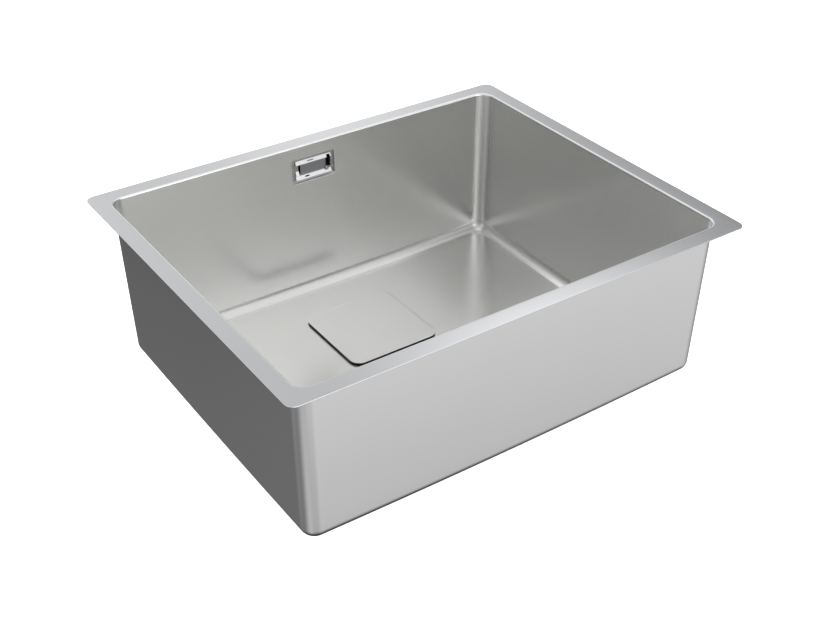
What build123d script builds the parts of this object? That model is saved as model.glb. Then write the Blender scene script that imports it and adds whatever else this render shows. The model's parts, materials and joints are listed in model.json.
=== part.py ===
from build123d import *
import math
import os

# Undermount kitchen sink with its basket waste and overflow, in millimetres.
# The origin is the centre of the bowl's opening in the plane of the rim's top face.
# +X runs along the long side to the right, +Y to the back, +Z up.

tolerance = 0.01  # for picking edges by their place
standing = (Align.CENTER, Align.CENTER, Align.MIN)  # on its lower end
reaching = (Align.MIN, Align.CENTER, Align.CENTER)  # outwards along +X

# Sheet and rim
sheet = 1.0
rim_length = 540.0
rim_width = 440.0
rim_flange = 20.0
rim_corner_radius = 10.0
rolled_edge_radius = 2.5

# Bowl
bowl_corner_radius = 15.0
bowl_depth = 192.4  # from the rim's top face to the lowest point of the floor
wall_lean = 4.5  # each wall comes in by this much from the rim to the floor
floor_dish_radius = 9500.0
floor_fillet = 12.0
drain_setback = 80.0  # from the middle of the bowl to the drain, towards the back

# Pressed recess round the drain hole
drain_hole_radius = 45.0
recess_floor_radius = 53.5
recess_depth = 3.0

# Sound-deadening pads under the floor
pad_thickness = 3.0
pad_corner_radius = 8.0
front_pad_length = 360.0
front_pad_width = 130.0
front_pad_setback = 95.0  # from the middle of the bowl towards the front
side_pad_length = 110.0
side_pad_width = 150.0
side_pad_offset = 155.0  # from the middle of the bowl to each side

# Strainer cup, the steel half of the waste
cup_wall = 0.8
cup_outer_radius = 43.4
cup_flange_radius = 52.6
cup_mouth_radius = 0.7
cup_depth = 28.0  # from the flange's top to the seat of the plug
cup_seat_radius = 30.0
cup_sump_depth = 12.5
cup_boss_radius = 10.0
cup_window_count = 6
cup_spoke_width = 5.0
cup_window_rim = 3.0

# Gaskets on the two sides of the sink's floor
gasket_bore_radius = 45.2
upper_gasket_radius = 52.2
upper_gasket_thickness = 1.0
lower_gasket_radius = 56.0
lower_gasket_thickness = 3.0

# Plastic waste body
body_flange_radius = 58.0
body_flange_thickness = 4.0
body_wall = 2.6
body_clearance = 1.5  # round the strainer cup
body_depth = 46.0  # from the flange's top to the bottom of the chamber
funnel_height = 14.0
outlet_radius = 23.9  # male thread for the trap's union nut
outlet_bore_radius = 20.5
outlet_length = 26.0
spider_count = 3
spider_thickness = 3.0
hub_radius = 9.0
hub_height = 14.0
hub_gap = 0.6  # between the cup's sump and the hub

# Clamping bolt and its insert
bolt_radius = 4.0
bolt_length = 17.0
bolt_head_radius = 8.0
bolt_head_height = 6.0
bolt_socket_depth = 5.0
insert_radius = 6.2
insert_length = 12.0
bolt_hole_clearance = 0.4
thread_clearance = 0.05
press_clearance = 0.05

# Strainer basket
basket_wall = 0.7
basket_clearance = 0.8  # between the basket's lip and the cup
basket_taper = 4.0
basket_height = 21.0
basket_lip = 3.2
basket_hole_radius = 1.8
basket_hole_rings = (13.0, 19.5, 26.0)
basket_hole_pitch = 8.4
basket_slot_count = 18
basket_slot_width = 2.2
basket_slot_height = 9.0

# Plug seal, retainer, post and knob under and in the basket
seal_radius = 35.5
seal_thickness = 3.5
retainer_radius = 24.0
retainer_thickness = 1.0
post_radius = 3.2
knob_radius = 8.5
knob_height = 4.5
knob_top_gap = 1.5  # below the drain cover
post_nut_size = 10.0  # across the flats
post_nut_height = 3.0
post_tip_depth = 3.5  # of the post's tip in the bolt's socket
post_tip_clearance = 0.6
clip_wire_radius = 0.45
clip_gap_angle = 60.0

# Drain cover
cover_size = 115.0
cover_corner_radius = 13.0
cover_thickness = 1.2
cover_edge_radius = 0.4
cover_gap = 2.2  # between the floor and the cover's underside
cover_ring_clearance = 1.0  # round the ring, in the strainer cup
cover_ring_wall = 0.8
cover_ring_height = 5.6
cover_ring_slot_count = 8
cover_ring_slot_width = 16.0
cover_ring_slot_height = 3.4
cover_foot_radius = 4.0
cover_foot_offset = 44.0  # from the drain's axis, along X and along Y
foot_clearance = 0.3

# Overflow in the back wall
overflow_drop = 32.0  # from the rim's top face to the middle of the overflow
overflow_length = 58.0
overflow_height = 31.0
overflow_recess_depth = 3.0
overflow_recess_corner = 3.0
overflow_hole_length = 47.0
overflow_hole_height = 23.0
overflow_hole_corner = 2.0
frame_border = 1.3  # of the frame over the edge of the hole
frame_clearance = 0.2
frame_front = 2.2  # of the frame's bars in front of the recess's floor
frame_flange = 0.9
frame_back = 4.0  # of the frame behind the recess's floor
frame_side = 1.3
frame_notch_width = 2.8  # of the window's part beside the top bar, at the screw's end
frame_notch_rim = 1.0  # left above that part
top_bar_height = 6.0
bottom_bar_height = 7.4
bar_slope = 1.2  # of the bars' sloping fronts, from front to back
top_slope_height = 4.6
bottom_slope_height = 1.6
bar_slot_length = 6.0
bar_slot_height = 1.8
bar_slot_offset = 8.0
overflow_plate_length = 34.0
overflow_plate_offset = 0.7  # of the plate's middle to the right
overflow_plate_thickness = 1.2
overflow_plate_recess = 1.6  # behind the front of the bars
overflow_plate_tongue = 1.6  # of the plate's tongues behind each bar
overflow_plate_gap = 0.3
screw_offset = 19.0
screw_head_radius = 2.3
screw_head_height = 1.2
screw_radius = 1.4
screw_length = 13.0
screw_height = 4.4  # above the lower edge of the frame

# Overflow housing behind the wall
overflow_gasket_thickness = 2.0
overflow_gasket_border = 4.0
housing_flange_thickness = 2.4
housing_wall = 1.8
housing_clearance = 1.0  # round the hole in the back wall
housing_depth = 21.0  # from the gasket to the housing's back
screw_boss_radius = 3.4

# Overflow hose, its union nuts and washers
spigot_radius = 10.4
spigot_bore_radius = 7.6
spigot_length = 14.0
hose_bore_radius = 7.4
hose_valley_radius = 8.3
hose_rib_radius = 10.0
hose_rib_pitch = 3.4
hose_rib_top = 0.22  # share of the pitch
hose_rib_side = 0.28  # share of the pitch, on each side of a rib
hose_flange_radius = 10.0
hose_flange_thickness = 2.0
hose_inlet_straight = 20.5  # from the bend's end to the side inlet's washer
hose_washer_thickness = 2.0
union_nut_radius = 13.0
union_nut_overlap = 9.0  # along the spigot's thread
union_nut_lip = 2.0
union_nut_side_count = 12
union_nut_clearance = 0.15
hose_wall_gap = 2.0  # between the upper union nut and the bowl's back wall
inlet_drop = 24.0  # from the waste body's flange to the side inlet
inlet_reach = 12.0  # of the side inlet's spigot out of the waste body

# Places that follow from the sizes above
opening_length = rim_length - 2 * rim_flange
opening_width = rim_width - 2 * rim_flange
floor_z = -bowl_depth
recess_z = floor_z - recess_depth
upper_gasket_z = recess_z + upper_gasket_thickness
cup_top_z = upper_gasket_z + cup_wall
cup_seat_z = cup_top_z - cup_depth
sump_z = cup_seat_z - cup_sump_depth
lower_gasket_z = recess_z - sheet - lower_gasket_thickness
body_inner_radius = cup_outer_radius + body_clearance
body_outer_radius = body_inner_radius + body_wall
chamber_z = lower_gasket_z - body_depth
outlet_top_z = chamber_z - funnel_height
outlet_end_z = outlet_top_z - outlet_length
hub_top_z = sump_z - cup_wall - hub_gap
bolt_seat_z = sump_z
bolt_head_top_z = bolt_seat_z + bolt_head_height
basket_floor_z = cup_seat_z + seal_thickness
basket_top_z = basket_floor_z + basket_height
cover_under_z = floor_z + cover_gap
cup_bore_radius = cup_outer_radius - cup_wall
cover_ring_radius = cup_bore_radius - cover_ring_clearance
retainer_z = cup_seat_z - retainer_thickness
post_nut_z = retainer_z - post_nut_height
post_tip_z = bolt_head_top_z - post_tip_depth
knob_top_z = cover_under_z - knob_top_gap
overflow_z = -overflow_drop
overflow_plane_y = opening_width / 2 + overflow_recess_depth - wall_lean * overflow_drop / bowl_depth
frame_length = overflow_hole_length - 2 * frame_clearance
frame_height = overflow_hole_height - 2 * frame_clearance
frame_front_y = overflow_plane_y - frame_front
frame_back_y = overflow_plane_y + frame_back
frame_high_z = overflow_z + frame_height / 2
frame_low_z = overflow_z - frame_height / 2
window_high_z = frame_high_z - top_bar_height
window_low_z = frame_low_z + bottom_bar_height
plate_front_y = frame_front_y + overflow_plate_recess
screw_seat_y = frame_front_y + bar_slope
screw_z = frame_low_z + screw_height
gasket_front_y = overflow_plane_y + sheet
housing_front_y = gasket_front_y + overflow_gasket_thickness
housing_back_y = housing_front_y + housing_depth
housing_length = overflow_hole_length + 2 * (housing_wall + housing_clearance)
housing_height = overflow_hole_height + 2 * (housing_wall + housing_clearance)
hose_y = opening_width / 2 + sheet + hose_wall_gap + union_nut_radius
inlet_z = lower_gasket_z - inlet_drop
housing_low_z = overflow_z - housing_height / 2
spigot_low_z = housing_low_z - spigot_length
inlet_end_y = drain_setback + body_outer_radius + inlet_reach
hose_bend_radius = hose_y - inlet_end_y - hose_washer_thickness - hose_inlet_straight


def at_drain(shape):
    return Pos(0, drain_setback, 0) * shape


def ring(outer_radius, inner_radius, low, high):
    blank = Cylinder(outer_radius, high - low, align=standing)
    if inner_radius > 0:
        blank -= Cylinder(inner_radius, high - low, align=standing)
    return Pos(0, 0, low) * blank


def frustum(low_radius, high_radius, low, high):
    cone = Cone(low_radius, high_radius, high - low, align=standing)
    return Pos(0, 0, low) * cone


def wall_block(length, height, corner, front, back):
    # An upright block round the overflow's axis, from the front face to the back face
    outline = Plane.XZ * RectangleRounded(length, height, corner)
    return Pos(0, back, overflow_z) * extrude(outline, back - front)


def floor_height(x, y):
    # Height of the dished floor's upper face
    reach = x**2 + (y - drain_setback) ** 2
    return floor_z + floor_dish_radius - math.sqrt(floor_dish_radius**2 - reach)


def dish(offset):
    ball = Rot(90, 0, 0) * Sphere(floor_dish_radius + offset)
    return Pos(0, drain_setback, floor_z + floor_dish_radius) * ball


def bowl_block(offset):
    # The bowl's space (offset 0) or its outside (offset of one sheet), down to the dished floor
    drop = bowl_depth + 2 * sheet
    radius = bowl_corner_radius + offset
    length = opening_length + 2 * offset
    width = opening_width + 2 * offset
    lean = 2 * wall_lean * drop / bowl_depth
    top = RectangleRounded(length, width, radius)
    bottom = Pos(0, 0, -drop) * RectangleRounded(length - lean, width - lean, radius)
    block = loft([bottom, top], ruled=True) & dish(offset)
    floor_face = block.faces().sort_by(Axis.Z)[0]
    return fillet(floor_face.edges(), floor_fillet + offset)


def recess_block(offset):
    # The round recess that takes the waste's flange, with a wall at 45 degrees
    low_radius = recess_floor_radius + offset * (math.sqrt(2) - 1)
    rise = 2 * recess_depth
    return at_drain(frustum(low_radius, low_radius + rise + offset, recess_z - offset, recess_z + rise))


def overflow_block(offset):
    back = overflow_plane_y + offset
    front = back - 3 * overflow_recess_depth
    length = overflow_length + 2 * offset
    height = overflow_height + 2 * offset
    return wall_block(length, height, overflow_recess_corner + offset, front, back)


def make_sink_bowl():
    rim = RectangleRounded(rim_length, rim_width, rim_corner_radius)
    rim -= RectangleRounded(opening_length, opening_width, bowl_corner_radius)
    outside = bowl_block(sheet) + recess_block(sheet) + overflow_block(sheet)
    space = bowl_block(0) + recess_block(0) + overflow_block(0)
    sink = extrude(rim, -sheet) + (outside - space)
    sink = fillet(opening_edges(sink, 0), rolled_edge_radius)
    sink = fillet(opening_edges(sink, -sheet), rolled_edge_radius - sheet)
    sink -= at_drain(ring(drain_hole_radius, 0, recess_z - 2 * sheet, recess_z + sheet))
    hole_front = overflow_plane_y - sheet
    hole_back = overflow_plane_y + 2 * sheet
    return sink - overflow_hole(hole_front, hole_back)


def overflow_hole(front, back):
    return wall_block(overflow_hole_length, overflow_hole_height, overflow_hole_corner, front, back)


def opening_edges(sink, height):
    # The edges of the rim's opening at a height, without those of the rim's outer edge
    half_length = (rim_length - rim_flange) / 2
    half_width = (rim_width - rim_flange) / 2
    level = sink.edges().filter_by_position(Axis.Z, height - tolerance, height + tolerance)
    level = level.filter_by_position(Axis.X, -half_length, half_length)
    return level.filter_by_position(Axis.Y, -half_width, half_width)


def make_sound_pads():
    shell = dish(sheet + pad_thickness) - dish(sheet)
    front = Pos(0, -front_pad_setback) * RectangleRounded(front_pad_length, front_pad_width, pad_corner_radius)
    pads = []
    outlines = [front]
    for side in (-1, 1):
        outline = RectangleRounded(side_pad_length, side_pad_width, pad_corner_radius)
        outlines.append(Pos(side * side_pad_offset, drain_setback) * outline)
    for outline in outlines:
        slab = Pos(0, 0, floor_z - 3 * pad_thickness) * extrude(outline, bowl_depth / 2)
        pads.append(slab & shell)
    return Compound(children=pads)


def make_strainer_cup():
    inner_radius = cup_bore_radius
    cup = ring(cup_flange_radius, inner_radius, cup_top_z - cup_wall, cup_top_z)
    cup += ring(cup_outer_radius, inner_radius, cup_seat_z, cup_top_z)
    cup += ring(cup_outer_radius, cup_seat_radius, cup_seat_z - cup_wall, cup_seat_z)
    cup += ring(cup_seat_radius + cup_wall, cup_seat_radius, sump_z, cup_seat_z)
    cup += ring(cup_seat_radius + cup_wall, bolt_radius + bolt_hole_clearance, sump_z - cup_wall, sump_z)
    mouth = cup.edges().filter_by(GeomType.CIRCLE)
    mouth = mouth.filter_by(lambda edge: abs(edge.radius - inner_radius) < tolerance).sort_by(Axis.Z)[-1]
    cup = fillet(mouth, cup_mouth_radius)
    window = ring(cup_seat_radius - cup_window_rim, cup_boss_radius, sump_z - 2 * cup_wall, sump_z + cup_wall)
    for number in range(cup_window_count // 2):
        spoke = Box(2 * cup_seat_radius, cup_spoke_width, 4 * cup_wall)
        window -= Pos(0, 0, sump_z) * Rot(0, 0, 360 / cup_window_count * number) * spoke
    return at_drain(cup - window)


def make_upper_gasket():
    return at_drain(ring(upper_gasket_radius, gasket_bore_radius, recess_z, upper_gasket_z))


def make_lower_gasket():
    return at_drain(ring(lower_gasket_radius, gasket_bore_radius, lower_gasket_z, recess_z - sheet))


def side_inlet(radius, start, end):
    tube = Plane.XZ * Circle(radius)
    return Pos(0, end, inlet_z) * extrude(tube, end - start)


def make_waste_body():
    body = ring(body_flange_radius, 0, lower_gasket_z - body_flange_thickness, lower_gasket_z)
    body += ring(body_outer_radius, 0, chamber_z, lower_gasket_z)
    body += frustum(outlet_radius, body_outer_radius, outlet_top_z, chamber_z)
    body += ring(outlet_radius, 0, outlet_end_z, outlet_top_z)
    block = at_drain(body)
    body = block + side_inlet(spigot_radius, drain_setback, inlet_end_y)
    space = ring(body_inner_radius, 0, chamber_z, lower_gasket_z)
    space += frustum(outlet_bore_radius, body_inner_radius, outlet_top_z, chamber_z)
    space += ring(outlet_bore_radius, 0, outlet_end_z, outlet_top_z)
    body = body - at_drain(space) - side_inlet(spigot_bore_radius, drain_setback, inlet_end_y)
    spider = ring(hub_radius, 0, hub_top_z - hub_height, hub_top_z)
    arm_length = body_outer_radius
    for number in range(spider_count):
        arm = Box(arm_length, spider_thickness, hub_height, align=(Align.MIN, Align.CENTER, Align.MAX))
        spider += Rot(0, 0, 90 + 360 / spider_count * (number + 0.5)) * Pos(0, 0, hub_top_z) * arm
    spider -= ring(insert_radius + press_clearance, 0, hub_top_z - hub_height, hub_top_z)
    return body + (at_drain(spider) & block)


def make_threaded_insert():
    bore = bolt_radius + thread_clearance
    return at_drain(ring(insert_radius, bore, hub_top_z - insert_length, hub_top_z))


def make_clamp_bolt():
    bolt = ring(bolt_radius, 0, bolt_seat_z - bolt_length, bolt_seat_z)
    bolt += ring(bolt_head_radius, 0, bolt_seat_z, bolt_head_top_z)
    socket_radius = post_radius + post_tip_clearance
    bolt -= ring(socket_radius, 0, bolt_head_top_z - bolt_socket_depth, bolt_head_top_z)
    return at_drain(bolt)


def make_strainer_basket():
    lip_radius = cup_bore_radius - basket_clearance
    top_radius = lip_radius - basket_lip
    low_radius = top_radius - basket_taper
    inside_low = low_radius - basket_wall
    inside_top = top_radius - basket_wall
    basket = frustum(low_radius, top_radius, basket_floor_z, basket_top_z)
    basket -= frustum(inside_low, inside_top, basket_floor_z + basket_wall, basket_top_z)
    basket += ring(lip_radius, inside_top, basket_top_z - basket_wall, basket_top_z)
    basket -= ring(post_radius + press_clearance, 0, basket_floor_z, basket_floor_z + basket_wall)
    hole = ring(basket_hole_radius, 0, basket_floor_z, basket_floor_z + basket_wall)
    for ring_radius in basket_hole_rings:
        count = round(2 * math.pi * ring_radius / basket_hole_pitch)
        for place in PolarLocations(ring_radius, count):
            basket -= place * hole
    slot = Box(low_radius, basket_slot_width, basket_slot_height, align=reaching)
    slot = Pos(top_radius / 2, 0, (basket_floor_z + basket_top_z) / 2) * slot
    for number in range(basket_slot_count):
        basket -= Rot(0, 0, 360 / basket_slot_count * number) * slot
    return at_drain(basket)


def make_basket_seal():
    return at_drain(ring(seal_radius, post_radius + press_clearance, cup_seat_z, basket_floor_z))


def make_seal_retainer():
    return at_drain(ring(retainer_radius, post_radius + press_clearance, retainer_z, cup_seat_z))


def make_basket_post():
    post = ring(post_radius, 0, post_tip_z, knob_top_z)
    knob = ring(knob_radius, 0, knob_top_z - knob_height, knob_top_z)
    knob = fillet(knob.edges().filter_by(GeomType.CIRCLE), knob_height / 3)
    collar_z = basket_floor_z + basket_wall
    post += knob + ring(2 * post_radius, 0, collar_z, collar_z + basket_wall)
    return at_drain(post)


def make_post_nut():
    nut = extrude(RegularPolygon(post_nut_size / 2, 6, major_radius=False), post_nut_height)
    nut -= Cylinder(post_radius + thread_clearance, 3 * post_nut_height)
    return at_drain(Pos(0, 0, post_nut_z) * nut)


def make_post_clip():
    # A split ring of spring wire snapped on the post just under its nut
    middle = post_nut_z - 2 * clip_wire_radius
    radius = post_radius + press_clearance + clip_wire_radius
    low = middle - clip_wire_radius
    high = middle + clip_wire_radius
    clip = ring(radius + clip_wire_radius, radius - clip_wire_radius, low, high)
    gap_width = 2 * radius * math.sin(math.radians(clip_gap_angle / 2))
    clip -= Pos(radius, 0, middle) * Box(2 * radius, gap_width, 4 * clip_wire_radius)
    return at_drain(clip)


def make_drain_cover():
    plate = extrude(RectangleRounded(cover_size, cover_size, cover_corner_radius), cover_thickness)
    plate = fillet(plate.faces().sort_by(Axis.Z)[-1].edges(), cover_edge_radius)
    return at_drain(Pos(0, 0, cover_under_z) * plate)


def make_cover_ring():
    low = cover_under_z - cover_ring_height
    skirt = ring(cover_ring_radius, cover_ring_radius - cover_ring_wall, low, cover_under_z)
    slot = Box(cover_ring_radius, cover_ring_slot_width, cover_ring_slot_height, align=reaching)
    slot = Pos(cover_ring_radius / 2, 0, low + cover_ring_slot_height / 2) * slot
    for number in range(cover_ring_slot_count):
        skirt -= Rot(0, 0, 360 / cover_ring_slot_count * number) * slot
    return at_drain(skirt)


def make_cover_feet():
    feet = []
    for side in (-1, 1):
        for end in (-1, 1):
            x = side * cover_foot_offset
            y = drain_setback + end * cover_foot_offset
            low = floor_height(abs(x) + cover_foot_radius, y + end * cover_foot_radius) + foot_clearance
            feet.append(Pos(x, y, 0) * ring(cover_foot_radius, 0, low, cover_under_z))
    return Compound(children=feet)


def make_overflow_frame():
    # The outline fits the hole with a clearance, and a thin flange covers the hole's edge
    corner = overflow_hole_corner - frame_clearance
    frame = wall_block(frame_length, frame_height, corner, frame_front_y, frame_back_y)
    flange_length = overflow_hole_length + 2 * frame_border
    flange_height = overflow_hole_height + 2 * frame_border
    flange_front = overflow_plane_y - frame_flange
    frame += wall_block(flange_length, flange_height, overflow_hole_corner, flange_front, overflow_plane_y)
    pocket_length = frame_length - 2 * frame_side
    through = 3 * (frame_back_y - frame_front_y)
    window = Box(pocket_length, through, window_high_z - window_low_z)
    frame -= Pos(0, overflow_plane_y, (window_high_z + window_low_z) / 2) * window
    pocket_front = plate_front_y + overflow_plate_gap
    pocket_height = frame_height - 2 * frame_side
    frame -= wall_block(pocket_length, pocket_height, corner / 2, pocket_front, frame_back_y)
    frame -= bar_slope_wedge(1, top_slope_height)
    frame -= bar_slope_wedge(-1, bottom_slope_height)
    notch_height = frame_high_z - frame_notch_rim - window_low_z
    notch = Box(frame_notch_width, through, notch_height, align=standing)
    frame -= Pos((pocket_length - frame_notch_width) / 2, overflow_plane_y, window_low_z) * notch
    slot = Plane.XZ * SlotOverall(bar_slot_length, bar_slot_height)
    slot = extrude(slot, frame_back_y - frame_front_y)
    top_slot_z = (window_high_z + frame_high_z) / 2
    bottom_slot_z = (window_low_z + frame_low_z) / 2
    for slot_z in (top_slot_z, bottom_slot_z):
        frame -= Pos(-bar_slot_offset, frame_back_y, slot_z) * slot
    frame -= along_screw(screw_radius + frame_clearance, frame_front_y, frame_back_y)
    frame -= along_screw(screw_head_radius + frame_clearance, flange_front - frame_front, screw_seat_y)
    return frame


def bar_slope_wedge(side, height):
    # What is cut away where a bar's front slopes back to the upper (1) or lower (-1) edge of the frame
    edge_z = overflow_z + side * frame_height / 2
    outline = Polyline(
        (frame_front_y, edge_z),
        (frame_front_y, edge_z - side * height),
        (frame_front_y + bar_slope, edge_z),
        close=True,
    )
    return extrude(Plane.YZ * make_face(outline), frame_length, both=True)


def along_screw(radius, front, back):
    return Pos(screw_offset, back, screw_z) * extrude(Plane.XZ * Circle(radius), back - front)


def make_overflow_plate():
    face_height = window_high_z - window_low_z - 2 * overflow_plate_gap
    tongue_height = window_high_z - window_low_z + 2 * overflow_plate_tongue
    middle = (window_high_z + window_low_z) / 2
    seated = (Align.CENTER, Align.MIN, Align.CENTER)
    face = Box(overflow_plate_length, overflow_plate_thickness, face_height, align=seated)
    tongue = Box(overflow_plate_length / 3, overflow_plate_thickness, tongue_height, align=seated)
    plate = Pos(0, plate_front_y, 0) * face
    plate += Pos(0, plate_front_y + 2 * overflow_plate_gap, 0) * tongue
    return Pos(overflow_plate_offset, 0, middle) * plate


def make_overflow_screw():
    head = along_screw(screw_head_radius, screw_seat_y - screw_head_height, screw_seat_y)
    return head + along_screw(screw_radius, screw_seat_y, screw_seat_y + screw_length)


def make_overflow_gasket():
    length = overflow_hole_length + 2 * overflow_gasket_border
    height = overflow_hole_height + 2 * overflow_gasket_border
    gasket = wall_block(length, height, overflow_recess_corner, gasket_front_y, housing_front_y)
    return gasket - overflow_hole(gasket_front_y, housing_front_y)


def make_overflow_housing():
    flange_length = overflow_hole_length + 2 * overflow_gasket_border
    flange_height = overflow_hole_height + 2 * overflow_gasket_border
    flange_back = housing_front_y + housing_flange_thickness
    housing = wall_block(flange_length, flange_height, overflow_recess_corner, housing_front_y, flange_back)
    housing += wall_block(housing_length, housing_height, overflow_hole_corner, housing_front_y, housing_back_y)
    spigot = Cylinder(spigot_radius, spigot_length + housing_wall, align=standing)
    housing += Pos(0, hose_y, spigot_low_z) * spigot
    inner_length = housing_length - 2 * housing_wall
    inner_height = housing_height - 2 * housing_wall
    space_back = housing_back_y - housing_wall
    housing -= wall_block(inner_length, inner_height, overflow_hole_corner / 2, housing_front_y, space_back)
    bore = Cylinder(spigot_bore_radius, spigot_length + 3 * housing_wall, align=standing)
    housing -= Pos(0, hose_y, spigot_low_z) * bore
    boss_front = frame_back_y + frame_clearance
    housing += along_screw(screw_boss_radius, boss_front, space_back)
    return housing - along_screw(screw_radius + thread_clearance, boss_front, space_back)


def hose_end_planes():
    # Each plane lies on a spigot's end face, with its Z axis pointing out along the hose
    upper = Plane(origin=(0, hose_y, spigot_low_z), x_dir=(1, 0, 0), z_dir=(0, 0, -1))
    lower = Plane(origin=(0, inlet_end_y, inlet_z), x_dir=(1, 0, 0), z_dir=(0, 1, 0))
    return upper, lower


def make_hose_washers():
    washers = []
    for plane in hose_end_planes():
        washers.append(plane * ring(hose_flange_radius, hose_bore_radius, 0, hose_washer_thickness))
    return Compound(children=washers)


def make_union_nuts():
    nuts = []
    lip_start = hose_washer_thickness + hose_flange_thickness
    lip_end = lip_start + union_nut_lip
    thread_radius = spigot_radius + union_nut_clearance
    for plane in hose_end_planes():
        outline = RegularPolygon(union_nut_radius, union_nut_side_count)
        nut = Pos(0, 0, -union_nut_overlap) * extrude(outline, union_nut_overlap + lip_end)
        nut -= ring(thread_radius, 0, -union_nut_overlap, lip_start)
        nut -= ring(hose_valley_radius + union_nut_clearance, 0, lip_start, lip_end)
        nuts.append(plane * nut)
    return Compound(children=nuts)


def hose_route():
    # Straight down behind the back wall, a quarter turn under the bowl, straight to the side inlet
    start = spigot_low_z - hose_washer_thickness
    end = inlet_end_y + hose_washer_thickness
    turn_z = inlet_z + hose_bend_radius
    turn_y = hose_y - hose_bend_radius
    down = Edge.make_line((0, hose_y, start), (0, hose_y, turn_z))
    diagonal = hose_bend_radius * math.sqrt(0.5)
    middle = (0, turn_y + diagonal, turn_z - diagonal)
    bend = Edge.make_three_point_arc((0, hose_y, turn_z), middle, (0, turn_y, inlet_z))
    forward = Edge.make_line((0, turn_y, inlet_z), (0, end, inlet_z))
    return Wire([down, bend, forward])


def make_overflow_hose():
    route = hose_route()
    straight_end = 2 * hose_rib_radius + union_nut_lip
    ribbed = route.length - 2 * straight_end
    rib_count = int(ribbed / hose_rib_pitch)
    pitch = ribbed / rib_count
    flat = hose_rib_top * pitch
    slope = hose_rib_side * pitch
    stations = [(hose_flange_thickness, hose_valley_radius)]
    for number in range(rib_count):
        start = straight_end + number * pitch
        stations.append((start, hose_valley_radius))
        stations.append((start + slope, hose_rib_radius))
        stations.append((start + slope + flat, hose_rib_radius))
        stations.append((start + 2 * slope + flat, hose_valley_radius))
    stations.append((route.length - hose_flange_thickness, hose_valley_radius))
    circles = [hose_circle(route, reach, radius) for reach, radius in stations]
    hose = Solid.make_loft(circles, ruled=True)
    upper, lower = hose_end_planes()
    for plane in (upper, lower):
        flange_start = hose_washer_thickness
        collar = ring(hose_flange_radius, 0, flange_start, flange_start + hose_flange_thickness)
        hose += plane * collar
    bore_start = Plane(origin=route @ 0, x_dir=(1, 0, 0), z_dir=route % 0)
    bore = sweep(bore_start * Circle(hose_bore_radius), path=route)
    hose -= bore
    print(f"overflow hose: {route.length:.1f} mm long, {rib_count} ribs, bend radius {hose_bend_radius:.1f} mm")
    return hose


def hose_circle(route, reach, radius):
    place = route.position_at(reach, position_mode=PositionMode.LENGTH)
    heading = route.tangent_at(reach, position_mode=PositionMode.LENGTH)
    plane = Plane(origin=place, x_dir=(1, 0, 0), z_dir=heading)
    return Wire.make_circle(radius, plane)


makers = {
    "sink_bowl": make_sink_bowl,
    "sound_pads": make_sound_pads,
    "strainer_cup": make_strainer_cup,
    "upper_gasket": make_upper_gasket,
    "lower_gasket": make_lower_gasket,
    "waste_body": make_waste_body,
    "threaded_insert": make_threaded_insert,
    "clamp_bolt": make_clamp_bolt,
    "strainer_basket": make_strainer_basket,
    "basket_seal": make_basket_seal,
    "seal_retainer": make_seal_retainer,
    "basket_post": make_basket_post,
    "post_nut": make_post_nut,
    "post_clip": make_post_clip,
    "drain_cover": make_drain_cover,
    "cover_ring": make_cover_ring,
    "cover_feet": make_cover_feet,
    "overflow_frame": make_overflow_frame,
    "overflow_plate": make_overflow_plate,
    "overflow_screw": make_overflow_screw,
    "overflow_gasket": make_overflow_gasket,
    "overflow_housing": make_overflow_housing,
    "overflow_hose": make_overflow_hose,
    "hose_washers": make_hose_washers,
    "union_nuts": make_union_nuts,
}

os.makedirs("parts", exist_ok=True)
for node, maker in makers.items():
    export_step(maker(), os.path.join("parts", node + ".step"))
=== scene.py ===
import json
import math
import bpy
import bmesh
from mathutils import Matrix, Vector


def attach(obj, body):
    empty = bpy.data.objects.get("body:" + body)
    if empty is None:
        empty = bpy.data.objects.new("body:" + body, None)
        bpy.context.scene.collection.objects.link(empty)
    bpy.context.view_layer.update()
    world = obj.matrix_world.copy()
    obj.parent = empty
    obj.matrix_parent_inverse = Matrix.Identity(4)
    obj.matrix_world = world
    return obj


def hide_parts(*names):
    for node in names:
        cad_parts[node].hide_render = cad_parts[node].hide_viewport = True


# Undermount kitchen sink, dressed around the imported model.
# Sizes in the dictionaries are in millimetres, unless a note says otherwise.
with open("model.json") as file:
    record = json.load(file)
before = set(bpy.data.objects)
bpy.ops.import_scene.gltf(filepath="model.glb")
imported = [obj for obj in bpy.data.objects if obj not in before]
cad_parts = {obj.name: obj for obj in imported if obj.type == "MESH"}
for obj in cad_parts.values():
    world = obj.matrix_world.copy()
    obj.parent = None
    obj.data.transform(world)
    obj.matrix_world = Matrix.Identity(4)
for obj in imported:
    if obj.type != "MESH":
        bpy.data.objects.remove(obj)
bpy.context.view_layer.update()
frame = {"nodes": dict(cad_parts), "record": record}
mm = 0.001
tau = 2 * math.pi
print("frame loaded:", len(frame["nodes"]), "nodes")


class Wire:
    # One output socket, so that shader maths reads as plain expressions
    def __init__(self, shader, socket):
        self.shader = shader
        self.socket = socket

    def maths(self, operation, *values):
        settings, sockets = {"operation": operation}, dict(enumerate(values))
        return self.shader.node("ShaderNodeMath", settings, sockets)

    def __add__(self, other):
        return self.maths("ADD", self, other)

    def __sub__(self, other):
        return self.maths("SUBTRACT", self, other)

    def __rsub__(self, other):
        return self.maths("SUBTRACT", other, self)

    def __mul__(self, other):
        return self.maths("MULTIPLY", self, other)

    __radd__ = __add__
    __rmul__ = __mul__


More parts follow.
